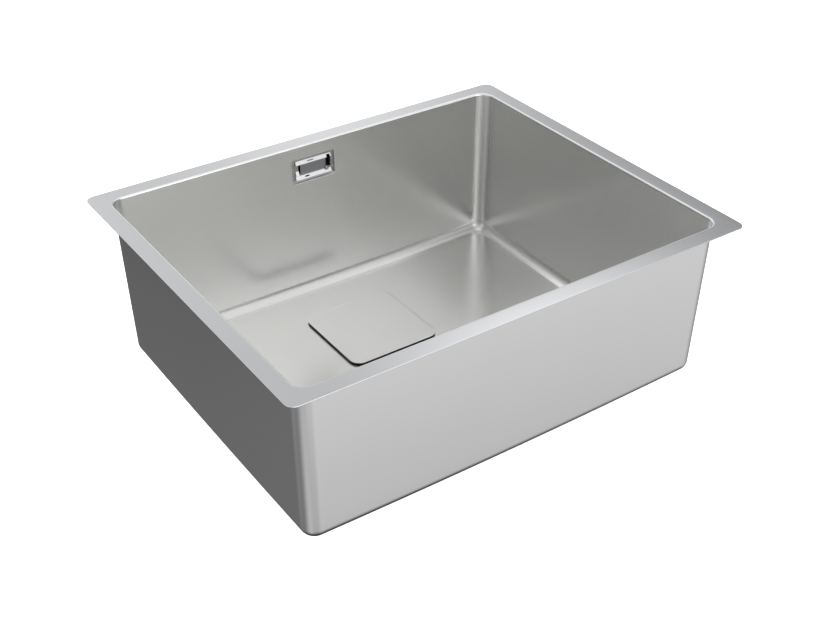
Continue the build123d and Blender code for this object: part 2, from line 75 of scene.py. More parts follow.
class Shader:
    def __init__(self, owner):
        owner.use_nodes = True
        self.tree = owner.node_tree
        self.tree.nodes.clear()

    def node(self, kind, settings=None, sockets=None, output=0):
        made = self.tree.nodes.new(kind)
        for name, value in (settings or {}).items():
            setattr(made, name, value)
        for name, value in (sockets or {}).items():
            if isinstance(value, Wire):
                self.tree.links.new(value.socket, made.inputs[name])
            else:
                made.inputs[name].default_value = value
        return Wire(self, made.outputs[output]) if made.outputs else None

    def mixColour(self, share, first, second):
        # The mix node's colour sockets are its inputs 6 and 7 and its output 2
        sockets = {0: share, 6: (*first, 1), 7: (*second, 1)}
        return self.node("ShaderNodeMix", {"data_type": "RGBA"}, sockets, 2)

    def places(self, stretch=(1, 1, 1)):
        # The piece's own coordinates in metres, which are the row frame's
        point = self.node("ShaderNodeTexCoord", output=3)
        return self.node("ShaderNodeMapping", None, {"Vector": point, "Scale": stretch})

    def facing(self):
        # How squarely the surface faces along each axis, from 0 to 1
        normal = self.node("ShaderNodeTexCoord", output=1)
        return self.node("ShaderNodeVectorMath", {"operation": "ABSOLUTE"}, {0: normal})

    def part(self, vector, axis):
        return self.node("ShaderNodeSeparateXYZ", None, {"Vector": vector}, "XYZ".index(axis))

    def noise(self, places, scale, detail=3.0, roughness=0.55):
        sockets = {"Vector": places, "Scale": scale, "Detail": detail, "Roughness": roughness}
        return self.node("ShaderNodeTexNoise", None, sockets)

    def bump(self, height, distance, strength=1.0):
        sockets = {"Strength": strength, "Distance": distance, "Height": height}
        return self.node("ShaderNodeBump", None, sockets)

    def surface(self, **looks):
        settings = {name.replace("_", " "): value for name, value in looks.items()}
        shade = self.node("ShaderNodeBsdfPrincipled", None, settings)
        self.node("ShaderNodeOutputMaterial", None, {"Surface": shade})


def newMaterial(name):
    material = bpy.data.materials.new(name)
    return material, Shader(material)


# Colour, roughness, clear polish, and what the blended corners add to the roughness
steelLook = {
    "bowl": {"colour": (0.80, 0.80, 0.79), "roughness": 0.248, "polish": 0.3, "curved": 0.14},
    "rim": {"colour": (0.80, 0.81, 0.83), "roughness": 0.158, "polish": 0.0, "curved": 0.16},
    "shell": {"colour": (0.80, 0.80, 0.80), "roughness": 0.258, "polish": 0.0},
    "cover": {"colour": (0.80, 0.80, 0.79), "roughness": 0.248, "polish": 0.3},
    "waste": {"colour": (0.74, 0.74, 0.74), "roughness": 0.208, "polish": 0.4},
    # The cover's cut edge and underside: steel darkened as painted shade of the shadow gap under
    # the plate
    "cutEdge": {"colour": (0.22, 0.22, 0.22), "roughness": 0.588, "polish": 0.0},
    # The overflow recess's foot and floor: steel darkened as painted shade in the recess
    "recessShade": {"colour": (0.52, 0.52, 0.51), "roughness": 0.268, "polish": 0.1},
}
# What all steel shares. Noise scales are per metre, and depths in millimetres.
brushing = {
    "cloudScale": 9.0, "cloudGloss": 0.014, "deep": 0.975,
    "lineScale": 1100.0, "lineStretch": 0.05, "lineRoughness": 0.6, "lineGloss": 0.03,
    "lineDepth": 0.004, "lineStrength": 0.3, "polishRoughness": 0.11, "curveReach": 6.0,
}


def brushedSteel(name, look):
    # Level brush lines, soft clouding and a faint variation in gloss
    material, shader = newMaterial(name)
    stretch = brushing["lineStretch"]
    lines = (brushing["lineScale"], 3.0, brushing["lineRoughness"])
    cloud = shader.noise(shader.places(), brushing["cloudScale"])
    along = shader.noise(shader.places((stretch, 1, 1)), *lines)
    across = shader.noise(shader.places((1, stretch, 1)), *lines)
    facing = shader.facing()
    sideways = shader.part(facing, "X")
    grain = along + (across - along) * sideways
    rough = look["roughness"] + brushing["cloudGloss"] * cloud
    rough = rough + brushing["lineGloss"] * (grain - 0.5)
    if "curved" in look:
        # Duller where no axis is faced squarely, which is where the sheet is bent
        flat = sideways.maths("MAXIMUM", shader.part(facing, "Y"), shader.part(facing, "Z"))
        flat = flat.maths("MAXIMUM", sideways, flat)
        curved = flat.maths("MINIMUM", (1.0 - flat) * brushing["curveReach"], 1.0)
        rough = rough + look["curved"] * curved
    deep = [part * brushing["deep"] for part in look["colour"]]
    shader.surface(
        Base_Color=shader.mixColour(cloud, deep, look["colour"]),
        Metallic=1.0,
        Roughness=rough,
        Coat_Weight=look["polish"],
        Coat_Roughness=brushing["polishRoughness"],
        Normal=shader.bump(grain, brushing["lineDepth"] * mm, brushing["lineStrength"]),
    )
    return material


plating = {
    "cloudScale": 60.0, "cloudGloss": 0.05, "dull": 0.94,
    "hazeScale": 1400.0, "hazeDepth": 0.004, "hazeStrength": 0.1,
}


def chromePlate(name, colour, roughness):
    material, shader = newMaterial(name)
    cloud = shader.noise(shader.places(), plating["cloudScale"], 2.0)
    haze = shader.noise(shader.places(), plating["hazeScale"])
    dull = [part * plating["dull"] for part in colour]
    shader.surface(
        Base_Color=shader.mixColour(cloud, dull, colour),
        Metallic=1.0,
        Roughness=roughness + plating["cloudGloss"] * cloud,
        Normal=shader.bump(haze, plating["hazeDepth"] * mm, plating["hazeStrength"]),
    )
    return material


brass = {
    "dark": (0.62, 0.46, 0.2), "light": (0.82, 0.66, 0.36), "roughness": 0.24,
    "ringScale": 3200.0, "ringStretch": 0.05, "ringDepth": 0.04, "ringStrength": 0.5,
    "stainScale": 240.0, "stainGloss": 0.16,
}


def turnedBrass(name):
    # Fine rings from turning, under an uneven stain
    material, shader = newMaterial(name)
    stretch = brass["ringStretch"]
    rings = shader.noise(shader.places((stretch, stretch, 1)), brass["ringScale"], 2.0)
    stain = shader.noise(shader.places(), brass["stainScale"], 4.0)
    shader.surface(
        Base_Color=shader.mixColour(stain, brass["dark"], brass["light"]),
        Metallic=1.0,
        Roughness=brass["roughness"] + brass["stainGloss"] * stain,
        Normal=shader.bump(rings, brass["ringDepth"] * mm, brass["ringStrength"]),
    )
    return material


rubber = {
    "skinScale": 1500.0, "skinRoughness": 0.65, "skinDepth": 0.06, "skinStrength": 0.6,
    "bloomScale": 70.0, "bloomGloss": 0.12, "paler": 1.5, "lift": 0.01, "gloss": 0.35,
}


def mouldedRubber(name, colour, roughness):
    # Fine skin with a paler bloom on it
    material, shader = newMaterial(name)
    skin = shader.noise(shader.places(), rubber["skinScale"], 5.0, rubber["skinRoughness"])
    bloom = shader.noise(shader.places(), rubber["bloomScale"])
    pale = [part * rubber["paler"] + rubber["lift"] for part in colour]
    shader.surface(
        Base_Color=shader.mixColour(bloom, colour, pale),
        Roughness=roughness + rubber["bloomGloss"] * (bloom - 0.5),
        Specular_IOR_Level=rubber["gloss"],
        Normal=shader.bump(skin, rubber["skinDepth"] * mm, rubber["skinStrength"]),
    )
    return material


plastic = {
    "flowScale": 28.0, "flowStretch": 0.35, "flowGloss": 0.1, "paler": 1.18, "lift": 0.004,
    "gritRoughness": 0.6, "gritGloss": 0.06, "gritDepth": 0.04, "gritStrength": 0.5, "gloss": 0.5,
}


def mouldedPlastic(name, colour, roughness, gritScale):
    # Spark-eroded grit with faint flow marks
    material, shader = newMaterial(name)
    grit = shader.noise(shader.places(), gritScale, 4.0, plastic["gritRoughness"])
    flow = shader.noise(shader.places((1, 1, plastic["flowStretch"])), plastic["flowScale"])
    pale = [part * plastic["paler"] + plastic["lift"] for part in colour]
    rough = roughness + plastic["flowGloss"] * (flow - 0.5) + plastic["gritGloss"] * (grit - 0.5)
    shader.surface(
        Base_Color=shader.mixColour(flow, colour, pale),
        Roughness=rough,
        Specular_IOR_Level=plastic["gloss"],
        Normal=shader.bump(grit, plastic["gritDepth"] * mm, plastic["gritStrength"]),
    )
    return material


finishes = {
    "satin_steel": brushedSteel("bowlSteel", steelLook["bowl"]),
    "cover_steel": brushedSteel("coverSteel", steelLook["cover"]),
    "waste_steel": brushedSteel("wasteSteel", steelLook["waste"]),
    "chrome": chromePlate("brightChrome", (0.46, 0.47, 0.48), 0.16),
    "dark_chrome": chromePlate("darkChrome", (0.38, 0.38, 0.39), 0.2),
    "brass": turnedBrass("turnedBrass"),
    "gasket": mouldedRubber("gasketRubber", (0.022, 0.022, 0.024), 0.62),
    "pad": mouldedRubber("padRubber", (0.05, 0.05, 0.053), 0.8),
    "waste_plastic": mouldedPlastic("wastePlastic", (0.05, 0.051, 0.054), 0.42, 900.0),
    "hose_plastic": mouldedPlastic("hosePlastic", (0.46, 0.47, 0.48), 0.38, 1400.0),
}
# Dark steel for the cover's cut edge and underside, as painted shade
shadedEdgeSteel = brushedSteel("shadedEdgeSteel", steelLook["cutEdge"])
# Further finishes of the bowl's sheet, one of them darkened as painted shade in the overflow's
# recess, and the number that each has on its mesh
sheetSteel = [brushedSteel(part + "Steel", steelLook[part]) for part in ("rim", "shell", "recessShade")]
bowlLook, rimLook, shellLook, recessShadeLook = range(4)
print("finishes ready:", len(finishes) + len(sheetSteel) + 1)

for part in frame["record"]["subparts"]:
    target = frame["nodes"][part["node"]]
    target.data.materials.clear()
    target.data.materials.append(finishes[part["material_slot"]])


def closedMesh(name, points, faces, merge=0):
    # Mesh from points in millimetres, its faces turned outwards
    mesh = bpy.data.meshes.new(name)
    mesh.from_pydata([Vector(point) * mm for point in points], [], faces)
    shape = bmesh.new()
    shape.from_mesh(mesh)
    if merge:
        bmesh.ops.remove_doubles(shape, verts=shape.verts, dist=merge)
    bmesh.ops.recalc_face_normals(shape, faces=shape.faces)
    shape.to_mesh(mesh)
    shape.free()
    return mesh


def makePiece(name, points, faces, finish, body, smoothAngle=40.0, replaced=()):
    # A piece from its points and faces, shaded smooth up to an angle
    mesh = closedMesh(name, points, faces, 1e-7)
    return addPiece(name, mesh, finish, body, smoothAngle, replaced)


def addPiece(name, mesh, finish, body, smoothAngle=None, replaced=()):
    # Puts a mesh in the scene on its body, in its slot and in place of what it replaces
    mesh.materials.clear()
    mesh.materials.append(finishes[finish])
    if smoothAngle:
        mesh.shade_smooth()
        mesh.set_sharp_from_angle(angle=math.radians(smoothAngle))
    piece = bpy.data.objects.new(name, mesh)
    bpy.context.scene.collection.objects.link(piece)
    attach(piece, body)
    if replaced:
        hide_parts(*replaced)
    return piece


def joinRings(rings, closed=True):
    # Quads between neighbouring rings that all have the same number of points
    count = len(rings[0])
    faces = []
    spans = len(rings) if closed else len(rings) - 1
    for row in range(spans):
        here, there = row * count, (row + 1) % len(rings) * count
        for k in range(count):
            after = (k + 1) % count
            faces.append((here + k, here + after, there + after, there + k))
    return [point for ring in rings for point in ring], faces


def capRings(rings):
    # Rings joined one to the next, with both ends filled by one face
    points, faces = joinRings(rings, closed=False)
    count = len(rings[0])
    last = len(points) - count
    faces.append(tuple(range(count))[::-1])
    faces.append(tuple(range(last, last + count)))
    return points, faces


def steps(start, end, count):
    return [start + (end - start) * k / count for k in range(count + 1)]


def roundedOutline(halfX, halfY, corner, count=8):
    # Flat outline with its corners rounded, anticlockwise from the front right corner
    outline = []
    for side, (signX, signY) in enumerate(((1, -1), (1, 1), (-1, 1), (-1, -1))):
        for k in range(count + 1):
            angle = tau / 4 * (side - 1 + k / count)
            x = signX * (halfX - corner) + corner * math.cos(angle)
            y = signY * (halfY - corner) + corner * math.sin(angle)
            outline.append((x, y))
    return outline


bowl = {
    "rimLength": 540.0, "rimWidth": 440.0, "rimCorner": 10.0, "flange": 20.0, "corner": 15.0,
    "sheet": 1.0, "rolledEdge": 2.5, "cutEdge": 0.3, "depth": 192.4, "lean": 4.5,
    "dishRadius": 9500.0, "floorFillet": 12.0,
    # the drain and the recess pressed round it
    "drainBack": 80.0, "drainHole": 45.0, "holeBevel": 0.25, "holeBevelDepth": 0.2,
    "recessFloor": 53.5, "recessDepth": 3.0, "recessRun": 0.15,
    "recessMouth": (1.5, 1.1), "recessFoot": (0.9, 1.2),
    # how the mesh is divided, and how far the rim's finish goes
    "cornerSteps": 14, "shortSteps": 8, "outerSteps": 9, "nearCorner": 0.9965,
    "flangeShares": (0.33, 0.67), "upperLevel": 5.0,
    "lowerLevels": (58.0, 70.0, 90.0, 110.0, 130.0, 150.0, 165.0),
    "rimRows": 6, "smoothAngle": 50.0, "flatWeight": 60,
}
overflow = {
    "drop": 32.0, "length": 57.2, "height": 30.6, "depth": 3.0, "corner": 3.0,
    "mouthRound": 0.4, "footRound": 0.5, "backRound": ((0.0, 0.3), (0.06, 0.1), (0.2, 0.0)),
    "holeLength": 47.0, "holeHeight": 23.0, "holeCorner": 2.0, "holeBevel": 0.2,
    # the window in the wall's mesh that the recess fills, and its loops that are painted darker as
    # shade in the recess
    "windowX": 36.0, "windowTop": 11.0, "windowLow": 53.0, "grid": 3.0, "cornerSteps": 4,
    "mouthSteps": 5, "footSteps": 4, "recessShadeFrom": 5, "recessShadeUntil": 13,
}
windowColumns = round(2 * overflow["windowX"] / overflow["grid"])
windowRows = round((overflow["windowLow"] - overflow["windowTop"]) / overflow["grid"])
openingX = bowl["rimLength"] / 2 - bowl["flange"]
openingY = bowl["rimWidth"] / 2 - bowl["flange"]
leanSlope = bowl["lean"] / bowl["depth"]
recessZ = -bowl["depth"] - bowl["recessDepth"]
overflowFloorY = openingY + overflow["depth"] - leanSlope * overflow["drop"]


def dishHeight(x, y, sheet=0.0):
    # The floor is part of a large ball, lowest at the drain
    reach = x * x + (y - bowl["drainBack"]) ** 2
    radius = bowl["dishRadius"]
    return radius - bowl["depth"] - math.sqrt((radius + sheet) ** 2 - reach)


def sinkStations():
    # Where each ring has its points: fixed columns by the overflow, shares of the side elsewhere
    window = overflow["windowX"]
    outer = [k / bowl["outerSteps"] for k in range(1, bowl["outerSteps"])]
    outer.append(bowl["nearCorner"])
    longSide = [(-window, -share) for share in outer[::-1]]
    longSide += [(x, 0) for x in steps(-window, window, windowColumns)]
    longSide += [(window, share) for share in outer]
    shares = [k / bowl["shortSteps"] for k in range(1 - bowl["shortSteps"], bowl["shortSteps"])]
    shortSide = [(0, share) for share in (-bowl["nearCorner"], *shares, bowl["nearCorner"])]
    stations = []
    for side in range(4):
        along = shortSide if side % 2 else longSide
        stations += [(side, place, share) for place, share in along]
        stations += [(side + 4, k / bowl["cornerSteps"], 0) for k in range(bowl["cornerSteps"] + 1)]
    return stations


stations = sinkStations()


def stationPoint(station, halfX, halfY, corner):
    # Point on a rounded rectangle, and its outward direction
    side, place, share = station
    if side > 3:
        angle = tau / 4 * (side - 5 + place)
        signX = 1 if side in (4, 5) else -1
        signY = 1 if side in (5, 6) else -1
        outX, outY = math.cos(angle), math.sin(angle)
        x = signX * (halfX - corner) + corner * outX
        y = signY * (halfY - corner) + corner * outY
        return x, y, outX, outY
    straight = (halfY if side % 2 else halfX) - corner
    held = 0 if side % 2 else overflow["windowX"]
    along = place + share * (straight - held)
    if side == 0:
        return along, -halfY, 0, -1
    if side == 1:
        return halfX, along, 1, 0
    if side == 2:
        return -along, halfY, 0, 1
    return -halfX, -along, -1, 0


def flatRing(halfX, halfY, corner, z):
    return [(*stationPoint(s, halfX, halfY, corner)[:2], z) for s in stations]


def openingRing(z, sheet):
    # Ring of the leaning wall at a height
    shift = leanSlope * -z
    corner = bowl["corner"] + sheet
    return flatRing(openingX - shift + sheet, openingY - shift + sheet, corner, z)


def rollRings(radius, count=8):
    # The rolled edge from the flange round to the wall
    tilt = math.atan(leanSlope)
    centre = bowl["rolledEdge"] / math.cos(tilt) - bowl["rolledEdge"] * math.tan(tilt)
    rings = []
    for angle in steps(tau / 4, tau / 2 - tilt, count):
        out = centre + radius * math.cos(angle)
        z = -bowl["rolledEdge"] + radius * math.sin(angle)
        rings.append(flatRing(openingX + out, openingY + out, bowl["corner"] + out, z))
    return rings


def filletPoint(station, share, sheet):
    # Point of the fillet between the wall (share 0) and the dished floor (share 1)
    radius = bowl["floorFillet"]
    outX, outY = stationPoint(station, openingX, openingY, bowl["corner"])[2:]
    tilt = math.atan(leanSlope * (abs(outX) + abs(outY)))
    centreZ = -bowl["depth"] + radius
    # Four rounds are enough to settle the height of the fillet's middle
    for _ in range(4):
        shift = leanSlope * -centreZ
        inset = shift + radius / math.cos(tilt)
        corner = bowl["corner"] - inset + shift
        x, y = stationPoint(station, openingX - inset, openingY - inset, corner)[:2]
        slope = (x * outX + (y - bowl["drainBack"]) * outY) / bowl["dishRadius"]
        floorAngle = math.atan2(-1, slope)
        footX = x + radius * math.cos(floorAngle) * outX
        footY = y + radius * math.cos(floorAngle) * outY
        centreZ = dishHeight(footX, footY) - radius * math.sin(floorAngle)
    angle = -tilt + (floorAngle + tilt) * share
    reach = radius + sheet
    return (
        x + reach * math.cos(angle) * outX,
        y + reach * math.cos(angle) * outY,
        centreZ + reach * math.sin(angle),
    )


def filletRings(sheet, count=12):
    return [[filletPoint(s, share, sheet) for s in stations] for share in steps(0, 1, count)]


def drainRing(radius, z, fanFrom):
    # Ring round the drain, with each point on the ray to a point of a ring outside it
    ring = []
    for x, y, _ in fanFrom:
        away = Vector((x, y - bowl["drainBack"])).normalized() * radius
        ring.append((away.x, away.y + bowl["drainBack"], z))
    return ring


def floorRings(start, edgeRadius, sheet, count=16):
    # Rings of the dished floor, from the fillet in to the recess
    rings = []
    end = drainRing(edgeRadius, 0, start)
    for share in steps(0, 1, count)[1:]:
        ring = []
        for (x0, y0, _), (x1, y1, _) in zip(start, end):
            x = x0 + (x1 - x0) * share
            y = y0 + (y1 - y0) * share
            ring.append((x, y, dishHeight(x, y, sheet)))
        rings.append(ring)
    return rings


def softCorner(before, corner, after, count=5):
    # Quadratic curve that rounds a corner of a profile
    curve = []
    for t in steps(0, 1, count):
        trios = zip(before, corner, after)
        curve.append([a * (1 - t) ** 2 + 2 * b * t * (1 - t) + c * t * t for a, b, c in trios])
    return curve


def recessProfile(sheet):
    # Radius and height from the floor's edge down to the drain hole
    foot = bowl["recessFloor"] + sheet * (math.sqrt(2) - 1)
    low = recessZ - sheet
    edge = foot + bowl["recessDepth"] + bowl["recessRun"]
    level = dishHeight(0, bowl["drainBack"] + edge, sheet)
    outer, down = bowl["recessMouth"]
    up, inner = bowl["recessFoot"]
    profile = softCorner((edge + outer, level), (edge, level), (edge - down, level - down))
    profile += softCorner((foot + up, low + up), (foot, low), (foot - inner, low))
    return profile


def sinkRings():
    # Rings down the bowl, through the drain hole, up the underside and round the rim's edge.
    # With them: the window's first row, and where the drain hole and the rim's edge start.
    halfX, halfY = bowl["rimLength"] / 2, bowl["rimWidth"] / 2
    cut, sheet, bevel = bowl["cutEdge"], bowl["sheet"], bowl["holeBevelDepth"]
    window = steps(overflow["windowTop"], overflow["windowLow"], windowRows)
    levels = [-z for z in (bowl["upperLevel"], *window, *bowl["lowerLevels"])]
    sides = []
    for thick in (0.0, sheet):
        roll = rollRings(bowl["rolledEdge"] - thick)
        rimEdge = flatRing(halfX - cut, halfY - cut, bowl["rimCorner"] - cut, -thick)
        rings = [rimEdge]
        for share in bowl["flangeShares"]:
            between = zip(rimEdge, roll[0])
            rings.append([[a + (b - a) * share for a, b in zip(p, q)] for p, q in between])
        rings += roll
        windowStart = len(rings) + 1
        rings += [openingRing(z, thick) for z in levels]
        rings += filletRings(thick)
        recess = recessProfile(thick)
        rings += floorRings(rings[-1], recess[0][0], thick)
        fan = rings[-1]
        rings += [drainRing(radius, z, fan) for radius, z in recess[1:]]
        rings.append(drainRing(bowl["drainHole"] + bowl["holeBevel"], recessZ - thick, fan))
        sides.append(rings)
    inner, under = sides
    heights = (recessZ - bevel, recessZ - (sheet - bevel))
    hole = [drainRing(bowl["drainHole"], z, fan) for z in heights]
    edge = []
    for angle in steps(tau / 4, -tau / 4, 6):
        inset = cut * (1 - math.cos(angle))
        half = (sheet / 2 - cut) * ((angle > 0) - (angle < 0))
        z = -sheet / 2 + half + cut * math.sin(angle)
        edge.append(flatRing(halfX - inset, halfY - inset, bowl["rimCorner"] - inset, z))
    rings = inner + hole + under[::-1] + edge[::-1][1:-1]
    return rings, windowStart, len(inner), len(inner) + len(hole) + len(under)


def patchLoop(halfX, halfZ, corner, depthAt):
    # Rounded outline round the overflow, in step with the points of the window's border
    arc = overflow["cornerSteps"]
    signs = ((1, 1), (-1, 1), (-1, -1), (1, -1))
    loop = []

    def corners(index, angle):
        signX, signZ = signs[index % 4]
        x = signX * (halfX - corner) + corner * math.cos(angle)
        z = signZ * (halfZ - corner) + corner * math.sin(angle)
        return Vector((x, z))

    for side, count in enumerate((windowColumns, windowRows) * 2):
        straight = count - 2 * arc
        for k in range(count):
            if k < arc:
                spot = corners(side, tau / 8 * (1 + 2 * side + k / arc))
            elif k > arc + straight:
                turn = tau / 8 * (k - arc - straight) / arc
                spot = corners(side + 1, tau / 4 * (side + 1) + turn)
            else:
                quarter = tau / 4 * (side + 1)
                ahead = corners(side + 1, quarter)
                spot = corners(side, quarter).lerp(ahead, (k - arc) / straight)
            z = spot.y - overflow["drop"]
            loop.append((spot.x, depthAt(z), z))
    return loop


def overflowLoops():
    # From the bowl's side of the wall through the pressed recess and its hole to the back
    halfX, halfZ, corner = overflow["length"] / 2, overflow["height"] / 2, overflow["corner"]
    mouth, foot, sheet = overflow["mouthRound"], overflow["footRound"], bowl["sheet"]
    holeX, holeZ = overflow["holeLength"] / 2, overflow["holeHeight"] / 2
    holeCorner, bevel = overflow["holeCorner"], overflow["holeBevel"]
    floorY, footSteps = overflowFloorY, overflow["footSteps"]

    def wallY(z):
        return openingY + leanSlope * z

    def loopAt(grow, depthAt):
        return patchLoop(halfX + grow, halfZ + grow, corner + grow, depthAt)

    loops = []
    for angle in steps(0, tau / 4, overflow["mouthSteps"]):
        depth = mouth * (1 - math.cos(angle))
        loops.append(loopAt(mouth * (1 - math.sin(angle)), lambda z, d=depth: wallY(z) + d))
    for angle in steps(0, tau / 4, footSteps):
        back = floorY - foot * (1 - math.sin(angle))
        loops.append(loopAt(-foot * (1 - math.cos(angle)), lambda z, y=back: y))
    through = ((bevel, floorY), (0, floorY + bevel))
    through += ((0, floorY + sheet - bevel), (bevel, floorY + sheet))
    for grow, back in through:
        size = (holeX + grow, holeZ + grow, holeCorner + grow)
        loops.append(patchLoop(*size, lambda z, y=back: y))
    for angle in steps(tau / 4, 0, footSteps):
        back = floorY - foot + (foot + sheet) * math.sin(angle)
        grow = -foot + (foot + sheet) * math.cos(angle)
        loops.append(loopAt(grow, lambda z, y=back: y))
    for grow, depth in overflow["backRound"]:
        loops.append(loopAt(sheet + grow, lambda z, d=sheet + depth: wallY(z) + d))
    return loops


def makeSink():
    # The rings with a window left out of both sides, and the overflow's loops between its borders
    rings, windowStart, holeStart, edgeStart = sinkRings()
    count = len(stations)
    points = [point for ring in rings for point in ring]
    columns = [k for k, (side, _, share) in enumerate(stations) if side == 2 and share == 0]
    innerRows = list(range(windowStart, windowStart + windowRows + 1))
    outerRows = [edgeStart - 1 - row for row in innerRows]
    skipped = {(row, column) for row in innerRows[:-1] for column in columns[:-1]}
    skipped |= {(row - 1, column) for row in outerRows[:-1] for column in columns[:-1]}
    faces, looks = [], []
    for row in range(len(rings)):
        here, there = row * count, (row + 1) % len(rings) * count
        look = bowlLook if row <= holeStart else shellLook
        if row < bowl["rimRows"] or row >= edgeStart:
            look = rimLook
        for k in range(count):
            if (row, k) in skipped:
                continue
            after = (k + 1) % count
            faces.append((here + k, here + after, there + after, there + k))
            looks.append(look)

    def border(rows):
        first, last = columns[0], columns[-1]
        loop = [rows[0] * count + column for column in columns]
        loop += [row * count + last for row in rows[1:]]
        loop += [rows[-1] * count + column for column in columns[-2::-1]]
        loop += [row * count + first for row in rows[-2:0:-1]]
        return loop

    indexed = [border(innerRows)]
    for loop in overflowLoops():
        start = len(points)
        points += loop
        indexed.append(list(range(start, start + len(loop))))
    indexed.append(border(outerRows))
    for number, (here, there) in enumerate(zip(indexed, indexed[1:])):
        look = bowlLook
        # The recess's foot and floor loops take the darker steel, as painted shade in the recess
        if number >= overflow["recessShadeFrom"]:
            look = recessShadeLook if number < overflow["recessShadeUntil"] else shellLook
        for k in range(len(here)):
            after = (k + 1) % len(here)
            faces.append((here[k], here[after], there[after], there[k]))
            looks.append(look)
    shape = (points, faces, "satin_steel", "sink", bowl["smoothAngle"])
    piece = makePiece("sink_bowl_skin", *shape, ["sink_bowl"])
    for finish in sheetSteel:
        piece.data.materials.append(finish)
    piece.data.polygons.foreach_set("material_index", looks)
    evened = piece.modifiers.new("evened", "WEIGHTED_NORMAL")
    evened.weight, evened.keep_sharp = bowl["flatWeight"], True
    return piece


makeSink()
print("sink bowl made")

cover = {
    "size": 115.0, "corner": 13.0, "thickness": 1.2, "under": -190.2, "topRound": 0.2,
    "underBevel": 0.2, "lip": 0.02, "lipHeight": 0.15, "innerInset": 9.0, "outerInset": 4.0,
    "paintedShadeFrom": 0.1,
}


def makeCover():
    # A plate whose cut edge and underside are darkened as painted shade of the gap under it
    half, top = cover["size"] / 2, cover["under"] + cover["thickness"]
    high, under = cover["topRound"], cover["under"]

    def ringAt(inset, z):
        outline = roundedOutline(half - inset, half - inset, cover["corner"] - inset, 12)
        return [(x, y + bowl["drainBack"], z) for x, y in outline]

    rings = [ringAt(cover["innerInset"], under), ringAt(cover["underBevel"], under)]
    rings.append(ringAt(cover["lip"], under + cover["lipHeight"]))
    for angle in steps(0, tau / 4, 6):
        rings.append(ringAt(high * (1 - math.cos(angle)), top - high * (1 - math.sin(angle))))
    rings += [ringAt(cover["outerInset"], top), ringAt(cover["innerInset"], top)]
    shape = (*capRings(rings), "cover_steel", "cover", 40.0)
    piece = makePiece("drain_cover_plate", *shape, ["drain_cover"])
    # Faces below the top edge's rounding take the dark steel, as painted shade of the gap under the
    # plate
    piece.data.materials.append(shadedEdgeSteel)
    for face in piece.data.polygons:
        if face.center.z < (top - high - cover["paintedShadeFrom"]) * mm:
            face.material_index = 1
    return piece


makeCover()
print("drain cover made")


def wallBlock(middleX, middleZ, halfX, halfZ, corner, front, back, count=6):
    # An upright block in the back wall, rounded at its four corners
    outline = roundedOutline(halfX, halfZ, corner, count)
    return capRings([[(x + middleX, y, z + middleZ) for x, z in outline] for y in (front, back)])


def spanBlock(left, right, low, top, corner, front, back):
    # The same from its four sides
    middle, half = ((left + right) / 2, (low + top) / 2), ((right - left) / 2, (top - low) / 2)
    return wallBlock(*middle, *half, corner, front, back)


def looseObject(name, points, faces):
    made = bpy.data.objects.new(name, closedMesh(name, points, faces))
    bpy.context.scene.collection.objects.link(made)
    return made


# Angles in degrees, and the merging distance in metres
carving = {"bevelAngle": 35.0, "flatWeight": 80, "flatAngle": 0.5, "merge": 1e-6}


def carve(name, block, changes, bevel, bevelSteps=2, flatFaces=True):
    # Adds to and cuts from a block, rounds its edges and gives back the mesh
    base = looseObject(name, *block)
    tools = []
    for number, (operation, shape) in enumerate(changes):
        tool = looseObject(f"{name}_tool_{number}", *shape)
        cut = base.modifiers.new(f"change{number}", "BOOLEAN")
        cut.operation, cut.solver, cut.object = operation, "EXACT", tool
        tools.append(tool)
    rounding = base.modifiers.new("rounding", "BEVEL")
    rounding.width, rounding.segments = bevel * mm, bevelSteps
    rounding.limit_method, rounding.angle_limit = "ANGLE", math.radians(carving["bevelAngle"])
    rounding.miter_outer = "MITER_ARC"
    if flatFaces:
        evened = base.modifiers.new("evened", "WEIGHTED_NORMAL")
        evened.weight, evened.keep_sharp = carving["flatWeight"], True
    base.data.shade_smooth()
    bpy.context.view_layer.update()
    done = base.evaluated_get(bpy.context.evaluated_depsgraph_get())
    mesh = bpy.data.meshes.new_from_object(done)
    mesh.name = name
    for loose in (base, *tools):
        bpy.data.objects.remove(loose)
    return mesh


insert = {
    "left": -22.6, "right": 24.7, "top": -20.4, "low": -44.7, "corner": 1.4,
    "front": 200.05, "back": 206.25, "shelf": 202.2, "edge": 0.2,
    # the body behind the face, and its pocket
    "bodyX": 23.3, "bodyZ": 11.3, "bodyCorner": 1.8, "bodyFront": 202.3, "joint": 0.1,
    "side": 1.3, "pocketFront": 202.8, "pocketCorner": 0.9,
    # the slopes of the two bars and the leg
    "topStart": -24.6, "lowStart": -44.1, "lowEnd": -39.7, "lowShelf": 0.5,
    "legTop": -33.2, "legStart": -38.2, "legCorner": 0.4, "legDepth": 0.4,
    # the window behind the plate
    "windowTop": -25.0, "windowLow": -37.2, "windowLeft": -18.6, "windowRight": 23.3,
    "windowCorner": 0.5, "topRim": 1.2, "barEnd": 18.7,
    # middle, half length, half height and depth of the two slots
    "topSlot": (-3.0, -22.5, 4.4, 0.7, 201.75), "lowSlot": (-7.7, -41.7, 2.9, 0.75, 210.0),
    "screwAt": (19.0, -38.9), "screwSeat": 201.25, "screwHole": 1.6,
    "bossRadius": 2.9, "bossDepth": 0.6,
}
# How far cutting blocks stand out of what they cut, and the smallest gap or overlap
past, nearPast, hair = 5, 2, 0.01


def slopeWedge(start, end, shelfEnd, left, right):
    # What the front loses where it slopes up and back to the shelf, between two heights
    front, shelf = insert["front"], insert["shelf"]
    before = front - 1
    outline = [(before, start), (front, start), (shelf, end), (shelf, shelfEnd), (before, shelfEnd)]
    return capRings([[(x, y, z) for y, z in outline] for x in (left, right)])


